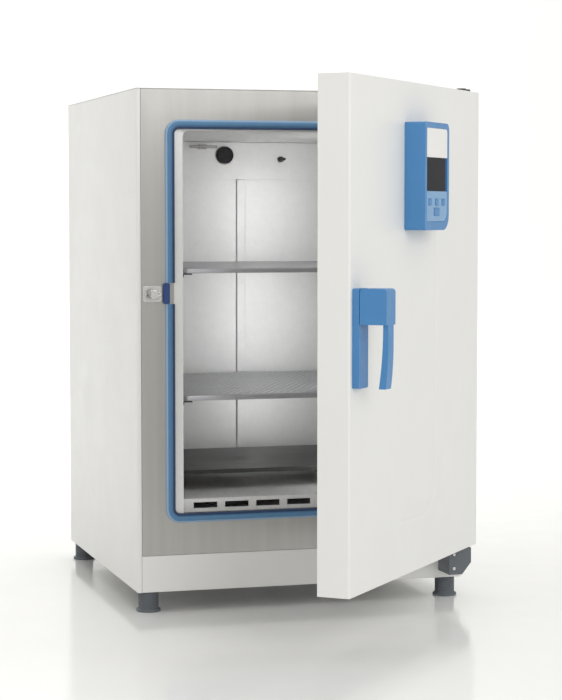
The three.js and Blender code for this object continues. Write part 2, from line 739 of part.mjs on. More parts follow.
function addDoorLeaf(parent) {
  const { inner, outer, bottom, top } = door;
  const { width } = cabinet;
  const plan = roundedRect(0, width, outer, inner, [4, 4, 0.5, 0.5]);
  const shell = cut(
    level(plan, bottom, top, 3),
    box(SHEET, width - SHEET, outer + SHEET, inner + 5, bottom + SHEET, top - SHEET),
    box(armSlot.left, armSlot.right, outer - 1, outer + 5, armSlot.bottom, armSlot.top),
    rod(pin.holeRadius, bottom - 1, bottom + 5, pin.x, pin.y, 16),
    rod(pin.holeRadius, top - 5, top + 1, pin.x, pin.y, 16),
  );
  addTo(parent, "door_outer_shell", shell, looks.whitePaint);

  const edge = SHEET + 0.4;
  const panelBack = inner - SHEET;
  const padFront = inner + door.padHeight;
  const pad = { left: 85, right: width - 85, bottom: bottom + 90, top: top - 87, front: padFront };
  const innerPanel = cut(
    join(
      box(edge, width - edge, panelBack, inner, bottom + edge, top - edge),
      upright(roundedRect(pad.left, pad.right, pad.bottom, pad.top, 10), inner - 1, pad.front, 3),
    ),
    box(pad.left + 3, pad.right - 3, panelBack - 1, pad.front - SHEET, pad.bottom + 3, pad.top - 3),
    box(strike.x - 14, strike.x + 14, panelBack - 1, inner + 1, strike.z - 16, strike.z + 14),
  );
  addTo(parent, "door_inner_panel", innerPanel, looks.stainless);

  const core = SHEET + 0.6;
  const filling = cut(
    box(core, width - core, outer + core, panelBack - 0.6, bottom + core, top - core),
    box(latchPocket.left, latchPocket.right, outer, inner, latchPocket.bottom, latchPocket.top),
    rod(pin.holeRadius + 2, bottom, bottom + pin.reach + 4, pin.x, pin.y, 12),
    rod(pin.holeRadius + 2, top - pin.reach - 4, top, pin.x, pin.y, 12),
  );
  addTo(parent, "door_insulation", filling, looks.mineralWool);
}

function addControlPanel(parent) {
  const { left, right, bottom, top, depth, recess } = panel;
  const back = door.outer - CLEAR;
  const front = back - depth;
  const corners = [5, 28, 12, 5];
  const housing = upright(roundedRect(left, right, bottom, top, corners), front, back, 5);
  const fieldLeft = left + 9;
  const fieldRight = right - 9;
  const rows = { keypadBottom: 688, keypadTop: 741, displayTop: 799, badgeTop: 850 };
  const field = roundedRect(fieldLeft, fieldRight, rows.keypadBottom, rows.badgeTop, [2, 18, 6, 2]);
  const pocketBack = front + recess;
  addTo(parent, "panel_housing", cut(housing, upright(field, front - 1, pocketBack, 5)), looks.bluePlastic);

  const plateFront = front + CLEAR;
  const plateBack = pocketBack - CLEAR;
  const [x0, x1] = [fieldLeft + CLEAR, fieldRight - CLEAR];
  const badge = roundedRect(x0, x1, rows.displayTop + CLEAR, rows.badgeTop - CLEAR, [0.5, 0.5, 6, 2]);
  addTo(parent, "badge_plate", upright(badge, plateFront, plateBack, 4), looks.whitePlastic);
  const windowPane = rect(x0, x1 - 8, rows.keypadTop + CLEAR, rows.displayTop - CLEAR);
  addTo(parent, "display_window", upright(windowPane, plateFront, plateBack), looks.blackGlass);

  const keypad = roundedRect(x0, x1, rows.keypadBottom + CLEAR, rows.keypadTop - CLEAR, [2, 18, 0.5, 0.5]);
  const keys = [-1, 0, 1].map((place) => ({ ...key, x: key.x + place * key.pitch }));
  keys.push({ ...key, ...wideKey });
  const around = 0.4;
  const windows = keys.map(({ x, z, width, height }) => {
    const [halfWidth, halfHeight] = [width / 2 + around, height / 2 + around];
    return box(x - halfWidth, x + halfWidth, plateFront - 1, plateBack + 1, z - halfHeight, z + halfHeight);
  });
  addTo(parent, "keypad", cut(upright(keypad, plateFront, plateBack), ...windows), looks.paleBlue);
  keys.forEach(({ x, z, width, height, proud, backClear }, index) => {
    const cap = roundedRect(x - width / 2, x + width / 2, z - height / 2, z + height / 2, 1.5);
    const dome = upright(cap, plateFront - proud, pocketBack - backClear, 3);
    addTo(parent, `key_${index + 1}`, dome, looks.bluePlastic);
  });
}

// The lever's side profile, offset outward from the door's face. Its rear top corner is round
// about the pivot, so it turns without meeting the base.
function leverProfile(from) {
  const { reach, top, bottom, blockBottom, pivot } = handle;
  const y = (offset) => from - offset;
  const blockRear = pivot.offset - 7;
  const shape = new THREE.Shape();
  shape.moveTo(y(blockRear), blockBottom);
  shape.lineTo(y(blockRear), pivot.z);
  shape.absarc(y(pivot.offset), pivot.z, 7, 0, Math.PI / 2);
  shape.lineTo(y(reach - 6), top);
  shape.absarc(y(reach - 6), top - 6, 6, Math.PI / 2, Math.PI);
  shape.lineTo(y(reach), 490);
  shape.quadraticCurveTo(y(reach), 450, y(reach - 4.5), bottom);
  shape.lineTo(y(reach - 16.5), bottom);
  shape.quadraticCurveTo(y(reach - 9.5), 460, y(reach - 9), blockBottom);
  return shape;
}

function addHandle(parent) {
  const face = door.outer - CLEAR;
  const { left, right, bottom, top, plate, gripWidth, middle, pivot, blockBottom } = handle;
  const pivotY = face - pivot.offset;
  const ear = { width: 3.5, inset: 4, bottom: 556, reach: 27 };
  const ears = [left + ear.inset, right - ear.inset - ear.width];
  const base = cut(
    join(
      upright(roundedRect(left, right, bottom, top, 4), face - plate, face, 3),
      ...ears.map((x) => box(x, x + ear.width, face - ear.reach, face - plate + 1, ear.bottom, top - 1)),
    ),
    box(armSlot.left, armSlot.right, face - plate - 1, face + 1, armSlot.bottom, armSlot.top),
    rodAlongX(pivot.radius + CLEAR, left - 1, right + 1, pivotY, pivot.z),
  );
  addTo(parent, "handle_base", base, looks.bluePlastic);

  const profile = leverProfile(face);
  const gripLeft = middle - gripWidth / 2;
  const block = cut(sideways(profile, left, right, 6), box(0, 100, -200, 0, bottom - 1, blockBottom));
  const whole = join(block, sideways(profile, gripLeft, gripLeft + gripWidth, 6));
  const slots = ears.map((x) =>
    box(x - 0.5, x + ear.width + 0.5, face - ear.reach - 6, face, ear.bottom - 12, top + 1),
  );
  const bore = rodAlongX(pivot.radius + CLEAR, left + 3, right - 3, pivotY, pivot.z);
  addTo(parent, "handle_lever", cut(whole, ...slots, bore), looks.bluePlastic);
  const pinEnd = ear.inset + 0.2;
  const axle = rodAlongX(pivot.radius, left + pinEnd, right - pinEnd, pivotY, pivot.z);
  addTo(parent, "handle_pin", axle, looks.steel);

  // The hook reaches through the door's face, and its tip stands behind the strike pin's head.
  const rear = face - (pivot.offset - 7) + CLEAR;
  const tipBack = -14;
  const tipFront = strike.tip + 6.6;
  const armTop = strike.z - strike.headRadius - 4;
  const armBottom = armTop - 7;
  const tipTop = strike.z - strike.shaftRadius - 1;
  const hook = new THREE.Shape();
  hook.moveTo(rear, armBottom);
  hook.lineTo(tipBack, armBottom);
  hook.lineTo(tipBack, tipTop - 4);
  hook.lineTo(tipBack - 3, tipTop);
  hook.lineTo(tipFront, tipTop);
  hook.lineTo(tipFront, armTop);
  hook.lineTo(face + 5, armTop);
  hook.lineTo(face, armTop + 10);
  hook.lineTo(rear, armTop + 10);
  addTo(parent, "latch_hook", sideways(hook, strike.x - 2.5, strike.x + 2.5), looks.steel);
}

// ---------------------------------------------------------------- assembly

const incubator = new THREE.Group();
const body = new THREE.Group();
incubator.add(body);
addCasing(body);
addFeet(body);
addChamber(body);
addSealAndCatch(body);
addInsulation(body);
addPortAndSensors(body);
addServices(body);
addShelves(body);
addHinges(body);

// The door turns about its pins, and everything on it is drawn in the closed position.
const swing = new THREE.Group();
swing.position.set(pin.x, pin.y, 0);
swing.rotation.z = THREE.MathUtils.degToRad(door.openDegrees);
body.add(swing);
const leaf = new THREE.Group();
leaf.position.set(-pin.x, -pin.y, 0);
swing.add(leaf);
addDoorLeaf(leaf);
addControlPanel(leaf);
addHandle(leaf);

incubator.updateMatrixWorld(true);
const bounds = new THREE.Box3().setFromObject(incubator, true);
const centre = bounds.getCenter(new THREE.Vector3());
body.position.set(-centre.x, -centre.y, -bounds.min.z);

export default incubator;
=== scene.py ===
"""Looks of a laboratory incubator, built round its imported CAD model. Lengths are in metres."""

import json
import math

import bmesh
import bpy
from mathutils import Matrix, Vector


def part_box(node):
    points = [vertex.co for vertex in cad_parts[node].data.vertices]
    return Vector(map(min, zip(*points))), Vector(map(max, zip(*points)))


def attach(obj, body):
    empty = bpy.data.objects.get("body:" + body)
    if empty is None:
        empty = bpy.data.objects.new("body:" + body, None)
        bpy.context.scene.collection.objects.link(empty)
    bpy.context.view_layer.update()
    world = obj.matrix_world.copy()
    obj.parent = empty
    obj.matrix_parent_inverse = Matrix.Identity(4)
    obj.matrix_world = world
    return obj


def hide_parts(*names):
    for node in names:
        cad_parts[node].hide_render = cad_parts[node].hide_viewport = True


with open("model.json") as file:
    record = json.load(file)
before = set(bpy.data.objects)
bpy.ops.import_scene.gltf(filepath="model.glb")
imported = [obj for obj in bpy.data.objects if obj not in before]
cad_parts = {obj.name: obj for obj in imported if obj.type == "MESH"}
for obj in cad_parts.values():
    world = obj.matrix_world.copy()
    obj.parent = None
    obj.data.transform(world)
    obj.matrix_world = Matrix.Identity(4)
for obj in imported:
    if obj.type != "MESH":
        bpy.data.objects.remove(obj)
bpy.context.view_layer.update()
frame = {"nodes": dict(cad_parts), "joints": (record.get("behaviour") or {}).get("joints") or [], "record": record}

MM = 0.001
nodes = frame["nodes"]
body_of = {node: body for body, members in frame["record"]["behaviour"]["bodies"].items() for node in members}

# ------------------------------------------------------------------ camera and light

CAMERA_PLACE = (-1.1602, -3.8184, 0.7403)
CAMERA_TURN = 16.43  # degrees to the right of straight ahead
CAMERA_DIP = 3.73  # degrees below the horizon
FOCAL_LENGTH = 107.8  # millimetres
SENSOR_WIDTH = 36  # millimetres


def add_camera():
    data = bpy.data.cameras.new("camera")
    data.lens = FOCAL_LENGTH
    data.sensor_width = SENSOR_WIDTH
    data.clip_end = 60
    camera = bpy.data.objects.new("camera", data)
    camera.location = CAMERA_PLACE
    camera.rotation_euler = (math.radians(90 - CAMERA_DIP), 0, math.radians(-CAMERA_TURN))
    bpy.context.scene.collection.objects.link(camera)
    bpy.context.scene.camera = camera


def add_light(name, place, target, size, power):
    data = bpy.data.lights.new(name, "AREA")
    data.shape = "RECTANGLE"
    data.size, data.size_y = size
    data.energy = power
    light = bpy.data.objects.new(name, data)
    light.location = place
    light.rotation_euler = (Vector(target) - Vector(place)).to_track_quat("-Z", "Y").to_euler()
    bpy.context.scene.collection.objects.link(light)
    return light


def add_studio():
    world = bpy.data.worlds.new("studio")
    world.use_nodes = True
    background = world.node_tree.nodes["Background"]
    background.inputs["Color"].default_value = (1.0, 0.995, 0.98, 1)
    background.inputs["Strength"].default_value = 0.8
    bpy.context.scene.world = world
    bpy.context.scene.view_settings.view_transform = "Standard"
    middle = (0, 0.1, 0.5)
    add_light("key", (1.2, -4.8, 2.4), middle, (2.6, 2.2), 52)
    add_light("fill", (-2.4, -4.6, 1.9), middle, (2.0, 2.4), 10)
    add_light("top", (0.0, 0.2, 3.4), (0, 0.2, 0), (2.4, 2.4), 16)
    # A strip in the chamber's front right corner, hidden from the camera, that lights the back wall.
    chamber_low, chamber_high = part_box("chamber_liner")
    strip_x, strip_y = chamber_high.x - 70 * MM, chamber_low.y + 50 * MM
    strip_z = (chamber_low.z + chamber_high.z) / 2
    back_wall = (chamber_low.x + 0.2, chamber_high.y, strip_z)
    glow = add_light("chamber_glow", (strip_x, strip_y, strip_z), back_wall, (0.05, 0.62), 1.15)
    glow.visible_camera = False
    add_light("backdrop", (0.0, 2.4, 3.6), (0, 6.0, 1.4), (5.0, 1.5), 130)


# ------------------------------------------------------------------ materials


class Surface:
    """A material whose colour, roughness and relief vary by noise over the object's own coordinates."""

    def __init__(self, name, color, roughness, metallic=0.0, **sockets):
        self.material = bpy.data.materials.new(name)
        self.material.use_nodes = True
        self.tree = self.material.node_tree
        self.shader = self.tree.nodes["Principled BSDF"]
        self.color = color
        self.roughness = roughness
        self.shader.inputs["Metallic"].default_value = metallic
        for socket, value in sockets.items():
            self.shader.inputs[socket.replace("_", " ")].default_value = value
        self.place = self.tree.nodes.new("ShaderNodeTexCoord").outputs["Object"]

    def add(self, kind, inputs, **settings):
        node = self.tree.nodes.new(kind)
        for setting, value in settings.items():
            setattr(node, setting, value)
        for socket, value in inputs.items():
            if isinstance(value, bpy.types.NodeSocket):
                self.tree.links.new(value, node.inputs[socket])
            else:
                node.inputs[socket].default_value = value
        return node

    def noise(self, scale, stretch=(1, 1, 1), detail=3.0):
        spread = self.add("ShaderNodeMapping", {"Vector": self.place, "Scale": stretch})
        made = self.add(
            "ShaderNodeTexNoise",
            {"Vector": spread.outputs["Vector"], "Scale": scale, "Detail": detail},
        )
        return made.outputs["Fac"]

    def cells(self, scale):
        made = self.add("ShaderNodeTexVoronoi", {"Vector": self.place, "Scale": scale})
        return made.outputs["Distance"]

    def ranged(self, value, low, high):
        """Spreads a noise value, mostly between 0.3 and 0.7, over low to high."""
        made = self.add(
            "ShaderNodeMapRange",
            {"Value": value, "From Min": 0.3, "From Max": 0.7, "To Min": low, "To Max": high},
        )
        return made.outputs["Result"]

    def vary_color(self, value, spread):
        darker = (*(channel * (1 - spread) for channel in self.color), 1)
        lighter = (*(min(1, channel * (1 + spread)) for channel in self.color), 1)
        mix = self.add("ShaderNodeMix", {"Factor": value}, data_type="RGBA")
        # The colour sockets of a Mix node come after its number and vector sockets.
        mix.inputs[6].default_value = darker
        mix.inputs[7].default_value = lighter
        self.tree.links.new(mix.outputs[2], self.shader.inputs["Base Color"])

    def vary_roughness(self, value, spread):
        rough = self.ranged(value, self.roughness - spread, self.roughness + spread)
        self.tree.links.new(rough, self.shader.inputs["Roughness"])

    def relief(self, height, depth, strength=1.0):
        bump = self.add("ShaderNodeBump", {"Height": height, "Distance": depth, "Strength": strength})
        self.tree.links.new(bump.outputs["Normal"], self.shader.inputs["Normal"])


def painted(name, color, roughness=0.36):
    """Powder coat: a fine orange peel, faint cloudiness and slightly uneven gloss."""
    paint = Surface(name, color, roughness, Coat_Weight=0.12, Coat_Roughness=0.25)
    paint.vary_color(paint.noise(7, detail=4), 0.018)
    paint.vary_roughness(paint.noise(26, detail=5), 0.07)
    paint.relief(paint.noise(520, detail=1), 0.05 * MM, 0.5)
    return paint.material


def brushed(name, color, roughness, along, spread, metallic=1.0):
    """Ground sheet steel: long fine streaks along one axis."""
    scale = 60
    stretch = tuple(0.02 if axis in along else 1.0 for axis in "xyz")
    steel = Surface(name, color, roughness, metallic, Anisotropic=0.35)
    streaks = steel.noise(scale * 14, stretch, 2)
    steel.vary_color(steel.noise(scale, stretch, 5), spread)
    steel.vary_roughness(streaks, 0.08)
    steel.relief(streaks, 0.02 * MM, 0.6)
    return steel.material


def moulded(name, color, roughness=0.42, grain=900, depth=0.03, **sockets):
    """Moulded plastic: a fine spark-eroded grain and slight colour drift."""
    plastic = Surface(name, color, roughness, **sockets)
    plastic.vary_color(plastic.noise(14, detail=3), 0.05)
    plastic.vary_roughness(plastic.noise(45, detail=4), 0.07)
    plastic.relief(plastic.cells(grain), depth * MM, 0.6)
    return plastic.material


def rubbery(name, color, roughness=0.62):
    """Silicone or rubber: matte, with a little dust and soft unevenness."""
    rubber = Surface(name, color, roughness, Sheen_Weight=0.15, Sheen_Roughness=0.5)
    rubber.vary_color(rubber.noise(60, detail=6), 0.08)
    rubber.vary_roughness(rubber.noise(110, detail=3), 0.1)
    rubber.relief(rubber.noise(700, detail=2), 0.04 * MM, 0.5)
    return rubber.material


def polished(name, color, roughness, coat, specular=0.5):
    """Smooth film or glass over a colour, with faint wipe marks in the gloss."""
    film = Surface(name, color, roughness, Coat_Weight=coat, Coat_Roughness=0.06)
    film.shader.inputs["Specular IOR Level"].default_value = specular
    film.vary_color(film.noise(30, detail=2), 0.03)
    film.vary_roughness(film.noise(22, (1, 1, 0.25), 5), 0.05)
    film.relief(film.noise(90, detail=1), 0.03 * MM, 0.3)
    return film.material


def fibrous(name, color):
    """Mineral wool: matte, with strands along one axis."""
    wool = Surface(name, color, 0.95)
    strands = wool.noise(320, (1, 0.15, 1), 6)
    wool.vary_color(strands, 0.25)
    wool.vary_roughness(wool.noise(40), 0.04)
    wool.relief(strands, 1.2 * MM, 1.0)
    return wool.material


# The display's low specular level keeps it dark, although the camera sees it at a low angle.
looks = {
    "white_paint": painted("white_paint", (0.82, 0.817, 0.795)),
    "stainless": brushed("stainless", (0.45, 0.445, 0.425), 0.36, "z", 0.1, 0.9),
    "bright_stainless": brushed("bright_stainless", (0.86, 0.86, 0.85), 0.34, "y", 0.04, 0.25),
    "shelf_steel": brushed("shelf_steel", (0.46, 0.46, 0.48), 0.34, "x", 0.06, 0.75),
    "dark_tray": brushed("dark_tray", (0.06, 0.06, 0.057), 0.42, "x", 0.1, 0.4),
    "blue_rubber": rubbery("blue_rubber", (0.09, 0.22, 0.39)),
    # The next two are the seal's blue rubber with a painted highlight for its lit outer flank and a painted shade
    # for its inner flank.
    "seal_painted_highlight": rubbery("seal_painted_highlight", (0.28, 0.42, 0.60)),
    "seal_painted_shade": rubbery("seal_painted_shade", (0.02, 0.05, 0.13)),
    # Deep blue for the door contact, darkened as painted shade of the seal's recess.
    "dark_blue_plastic": moulded("dark_blue_plastic", (0.02, 0.06, 0.22)),
    "blue_plastic": moulded("blue_plastic", (0.056, 0.225, 0.49), 0.38, Coat_Weight=0.15),
    "pale_blue_film": polished("pale_blue_film", (0.17, 0.36, 0.60), 0.35, 0.3),
    "white_plastic": polished("white_plastic", (0.84, 0.83, 0.81), 0.3, 0.2),
    "display_black": polished("display_black", (0.010, 0.011, 0.014), 0.2, 0.0, 0.05),
    "slate_plastic": moulded("slate_plastic", (0.125, 0.14, 0.155), 0.55, 500, 0.06),
    "black_rubber": rubbery("black_rubber", (0.02, 0.02, 0.022), 0.7),
    "mineral_wool": fibrous("mineral_wool", (0.62, 0.55, 0.32)),
    "steel": brushed("steel", (0.62, 0.62, 0.61), 0.25, "x", 0.05),
    "dark_steel": painted("dark_steel", (0.035, 0.035, 0.04), 0.4),
    "circuit_green": moulded("circuit_green", (0.02, 0.10, 0.045), 0.4, 260),
}

# ------------------------------------------------------------------ making pieces


def finished(name, mesh, look, body, stands_for=(), place=None):
    """A mesh as a piece that rides on a body, with its look, hiding the CAD nodes it stands for."""
    piece = bpy.data.objects.new(name, mesh)
    bpy.context.scene.collection.objects.link(piece)
    for material in [look] if isinstance(look, str) else look:
        mesh.materials.append(looks[material])
    if place is not None:
        piece.matrix_world = place
    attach(piece, body)
    if stands_for:
        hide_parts(*stands_for)
    return piece


def mesh_from(bm, name, smooth_under=35):
    """A mesh of that bmesh, shaded smooth across edges under that many degrees."""
    bmesh.ops.recalc_face_normals(bm, faces=bm.faces)
    mesh = bpy.data.meshes.new(name)
    bm.to_mesh(mesh)
    bm.free()
    mesh.shade_smooth()
    mesh.set_sharp_from_angle(angle=math.radians(smooth_under))
    return mesh


def soften(piece, width, segments=2):
    """Rounds a piece's hard edges by that width."""
    bevel = piece.modifiers.new("rounded_edges", "BEVEL")
    bevel.width = width
    bevel.segments = segments
    bevel.limit_method = "ANGLE"
    bevel.angle_limit = math.radians(32)
    bevel.harden_normals = True


def welded(node):
    """A CAD node's shape with its corners joined and its flat faces whole."""
    bm = bmesh.new()
    bm.from_mesh(nodes[node].data)
    bmesh.ops.remove_doubles(bm, verts=bm.verts, dist=0.002 * MM)
    bmesh.ops.dissolve_limit(bm, angle_limit=math.radians(0.4), verts=bm.verts, edges=bm.edges)
    return bm


def dress(node, look, edge=0.5 * MM, segments=2):
    """Stands a CAD node's own shape in for it, with rounded edges."""
    mesh = mesh_from(welded(node), node + "_skin")
    piece = finished(node + "_skin", mesh, look, body_of[node], (node,))
    soften(piece, edge, segments)


def turned(name, profile, segments=32):
    """A closed lathed mesh about +Z; profile points are (radius, height) and start and end on the axis."""
    bm = bmesh.new()
    rings = []
    for radius, height in profile:
        if radius == 0:
            rings.append([bm.verts.new((0, 0, height))] * segments)
            continue
        angles = [2 * math.pi * step / segments for step in range(segments)]
        rings.append([bm.verts.new((radius * math.cos(a), radius * math.sin(a), height)) for a in angles])
    for lower, upper in zip(rings, rings[1:]):
        for step in range(segments):
            following = (step + 1) % segments
            corners = [lower[step], lower[following], upper[following], upper[step]]
            bm.faces.new(list(dict.fromkeys(corners)))
    return mesh_from(bm, name)


def rounded_path(x0, x1, y0, y1, radius, steps, gap=None):
    """Points round a rectangle with rounded corners, starting up its left side.
    With gap, the path starts above that stretch of the left side and ends below it."""
    corners = [(x0 + radius, y1 - radius, 180), (x1 - radius, y1 - radius, 90)]
    corners += [(x1 - radius, y0 + radius, 0), (x0 + radius, y0 + radius, -90)]
    points = [(x0, gap[1])] if gap else []
    for x, y, start in corners:
        for step in range(steps + 1):
            angle = math.radians(start - 90 * step / steps)
            points.append((x + radius * math.cos(angle), y + radius * math.sin(angle)))
    return points + ([(x0, gap[0])] if gap else [])


def swept(bm, rectangle, radius, profile, lay, steps=8, gap=None, look_of=None):
    """A closed profile swept round a rectangle. Profile points are (outward, height), and lay(x, y, height)
    gives the point in space. look_of numbers the material of each side of the profile."""
    x0, x1, y0, y1 = rectangle
    rings = []
    for out, height in profile:
        path = rounded_path(x0 - out, x1 + out, y0 - out, y1 + out, radius + out, steps, gap)
        rings.append([bm.verts.new(lay(x, y, height)) for x, y in path])
    count = len(rings[0])
    for side, ring in enumerate(rings):
        other = rings[(side + 1) % len(rings)]
        for step in range(count if gap is None else count - 1):
            following = (step + 1) % count
            face = bm.faces.new([ring[step], ring[following], other[following], other[step]])
            if look_of:
                face.material_index = look_of[side]
    if gap:
        bm.faces.new([ring[0] for ring in rings])
        bm.faces.new([ring[-1] for ring in rings])


# The corners and mid-sides of a square, from its lower left corner anticlockwise.
EIGHT_AROUND = [(-1, -1), (0, -1), (1, -1), (1, 0), (1, 1), (0, 1), (-1, 1), (-1, 0)]


def pierced(bm, columns, rows, pitch, hole, thickness, lay, staggered=False):
    """A sheet of cells, each with one hole. hole gives eight points round it, from the cell's lower left
    corner anticlockwise, and lay(u, v, depth) gives the point in space."""
    wide, tall = pitch
    made = {}

    # Neighbouring cells share their corners, which lie on quarters of a cell.
    def corner(u, v, depth):
        key = (round(u / wide * 4), round(v / tall * 4), depth > 0)
        if key not in made:
            made[key] = bm.verts.new(lay(u, v, depth))
        return made[key]

    left, low = -columns * wide / 2, -rows * tall / 2
    for row in range(rows):
        shift = wide / 2 if staggered and row % 2 else 0
        v = low + (row + 0.5) * tall
        for column in range(columns - (1 if shift else 0)):
            u = left + (column + 0.5) * wide + shift
            rims = []
            for depth in (0, thickness):
                outer = [corner(u + a * wide / 2, v + b * tall / 2, depth) for a, b in EIGHT_AROUND]
                inner = [bm.verts.new(lay(u + a, v + b, depth)) for a, b in hole]
                for k in range(8):
                    bm.faces.new([outer[k], outer[(k + 1) % 8], inner[(k + 1) % 8], inner[k]])
                rims.append(inner)
            for k in range(8):
                bm.faces.new([rims[0][k], rims[0][(k + 1) % 8], rims[1][(k + 1) % 8], rims[1][k]])
        # A staggered row is half a cell short at each end, and a plain face fills that.
        if shift:
            for u0, u1 in ((left, left + shift), (-left - shift, -left)):
                for depth in (0, thickness):
                    ring = [(u0, -1), (u1, -1), (u1, 0), (u1, 1), (u0, 1), (u0, 0)]
                    bm.faces.new([corner(u, v + b * tall / 2, depth) for u, b in ring])
    # The sheet's own edges join its two faces.
    bm.edges.ensure_lookup_table()
    bmesh.ops.bridge_loops(bm, edges=[e for e in bm.edges if len(e.link_faces) == 1])


def round_hole(radius):
    angles = [math.radians(225 + 45 * k) for k in range(8)]
    return [(radius * math.cos(a), radius * math.sin(a)) for a in angles]


def slot_hole(half_width, half_height):
    return [(a * half_width, b * half_height) for a, b in EIGHT_AROUND]


def screw(name, place, facing, radius=3.2 * MM):
    """A button-head screw on the cabinet, its head standing on that place and facing outwards."""
    r = radius
    profile = [(0, 0), (r, 0), (r, 0.25 * r), (0.86 * r, 0.5 * r), (0.62 * r, 0.62 * r)]
    profile += [(0.42 * r, 0.62 * r), (0.38 * r, 0.2 * r), (0, 0.2 * r)]
    turn = Vector((0, 0, 1)).rotation_difference(Vector(facing)).to_matrix().to_4x4()
    mesh = turned(name, profile, 20)
    finished(name, mesh, "steel", "cabinet", place=Matrix.Translation(place) @ turn)


# ------------------------------------------------------------------ the door's own frame

hinge = next(joint for joint in frame["joints"] if joint["name"] == "door_hinge")
hinge_line = Matrix.Translation(hinge["pos_m"])
opened = hinge_line @ Matrix.Rotation(-math.radians(hinge["range_deg"][0]), 4, "Z") @ hinge_line.inverted()


def closed_box(node):
    """A door node's box with the door shut."""
    shut = opened.inverted()
    points = [shut @ vertex.co for vertex in nodes[node].data.vertices]
    low = Vector([min(p[axis] for p in points) for axis in range(3)])
    high = Vector([max(p[axis] for p in points) for axis in range(3)])
    return low, high


# ------------------------------------------------------------------ casing and chamber


def add_casing():
    for node in ("side_panel_left", "side_panel_right", "top_cover", "rear_panel", "base_fascia"):
        dress(node, "white_paint", edge=0.7 * MM)
    dress("front_frame", "stainless", edge=0.5 * MM)
    dress("base_pan", "steel")
    low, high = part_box("rear_panel")
    inset = 12 * MM
    wide, tall = high.x - low.x, high.z - low.z
    shares_up, shares_across = (0.03, 0.27, 0.5, 0.73, 0.97), (0.25, 0.75)
    spots = [(x, low.z + share * tall) for x in (low.x + inset, high.x - inset) for share in shares_up]
    spots += [(low.x + share * wide, z) for z in (low.z + inset, high.z - inset) for share in shares_across]
    for number, (x, z) in enumerate(spots, 1):
        screw(f"rear_screw_{number}", (x, high.y, z), (0, 1, 0))


FOOT_BODY_SHARE = 19 / 23  # of the flange's radius
FOOT_HEIGHT = 38 * MM
FOOT_GROOVES = 7
FIRST_GROOVE = 9 * MM
GROOVE_PITCH = 3.6 * MM
STUD_RADIUS = 5 * MM


def add_feet():
    for node in ("foot_front_left", "foot_front_right", "foot_rear_left", "foot_rear_right"):
        low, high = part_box(node)
        flange_radius = (high.x - low.x) / 2
        body_radius = flange_radius * FOOT_BODY_SHARE
        groove_radius = body_radius - 0.8 * MM
        top = high.z - low.z
        profile = [(0, 0), (flange_radius - 1.2 * MM, 0), (flange_radius, 1.2 * MM)]
        profile += [(flange_radius, 4 * MM), (flange_radius - 1 * MM, 5 * MM), (body_radius, 6.5 * MM)]
        for groove in range(FOOT_GROOVES):
            base = FIRST_GROOVE + groove * GROOVE_PITCH
            profile += [(body_radius, base), (groove_radius, base + 0.6 * MM)]
            profile += [(groove_radius, base + 1.2 * MM), (body_radius, base + 1.8 * MM)]
        profile += [(body_radius, FOOT_HEIGHT - 2.4 * MM), (body_radius - 2 * MM, FOOT_HEIGHT - 1 * MM)]
        profile += [(STUD_RADIUS, FOOT_HEIGHT - 1 * MM), (STUD_RADIUS, top), (0, top)]
        middle = (low + high) / 2
        place = Matrix.Translation((middle.x, middle.y, low.z))
        mesh = turned(node + "_ribbed", profile, 40)
        finished(node + "_ribbed", mesh, "slate_plastic", body_of[node], (node,), place)


def add_chamber():
    dress("chamber_liner", "bright_stainless", edge=0.4 * MM)
    dress("floor_baffle", "bright_stainless", edge=0.4 * MM)
    dress("upper_duct_cover", "bright_stainless", edge=0.8 * MM)
    dress("rear_cable_cover", "bright_stainless", edge=0.8 * MM)
    dress("access_port_tube", "steel", edge=0.4 * MM)
    dress("access_port_plug", "black_rubber", edge=0.6 * MM)
    dress("temperature_sensor", "dark_steel", edge=0.3 * MM)
    dress("limit_sensor", "stainless", edge=0.4 * MM)
    low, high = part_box("upper_duct_cover")
    inset = 10 * MM
    corners = [(x, z) for x in (low.x + inset, high.x - inset) for z in (low.z + inset, high.z - inset)]
    for number, (x, z) in enumerate(corners, 1):
        screw(f"duct_screw_{number}", (x, low.y, z), (0, -1, 0), 2.6 * MM)


def add_seal():
    low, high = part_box("door_seal")
    contact_low, contact_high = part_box("door_contact")
    width = 17 * MM
    radius = 9 * MM
    rectangle = (low.x + width, high.x - width, low.z + width, high.z - width)
    gap = (contact_low.z - 0.5 * MM, contact_high.z + 0.5 * MM)
    # Points run from the inner edge over the lips to the outer edge; heights stand on the front frame.
    lips = [(0, 0), (0, 4.2), (1, 5.4), (3.4, 5.4), (4.2, 4.2), (5.2, 4.2), (6, 6.4), (7.6, 7.6)]
    lips += [(11.4, 7.7), (13.2, 6.8), (13.8, 5.2), (14.4, 5.0), (16.2, 4.2), (17, 3), (17, 0)]
    # The outer flank gets the painted highlight colour and the inner flank the painted shade colour, lit and
    # shaded copies of the blue rubber.
    looks_of_sides = [2, 2, 2, 2, 0, 0, 0, 0, 0, 0, 1, 1, 1, 1, 0]
    back = high.y
    bm = bmesh.new()
    profile = [(out * MM, height * MM) for out, height in lips]
    swept(bm, rectangle, radius, profile, lambda x, z, h: (x, back - h, z), 10, gap, looks_of_sides)
    mesh = mesh_from(bm, "door_seal_lips", 60)
    three = ["blue_rubber", "seal_painted_highlight", "seal_painted_shade"]
    finished("door_seal_lips", mesh, three, "cabinet", ("door_seal",))
    # The contact block in the seal's gap is a real part; its deep blue is partly painted shade of the recess it
    # sits in.
    dress("door_contact", "dark_blue_plastic", edge=1.0 * MM)


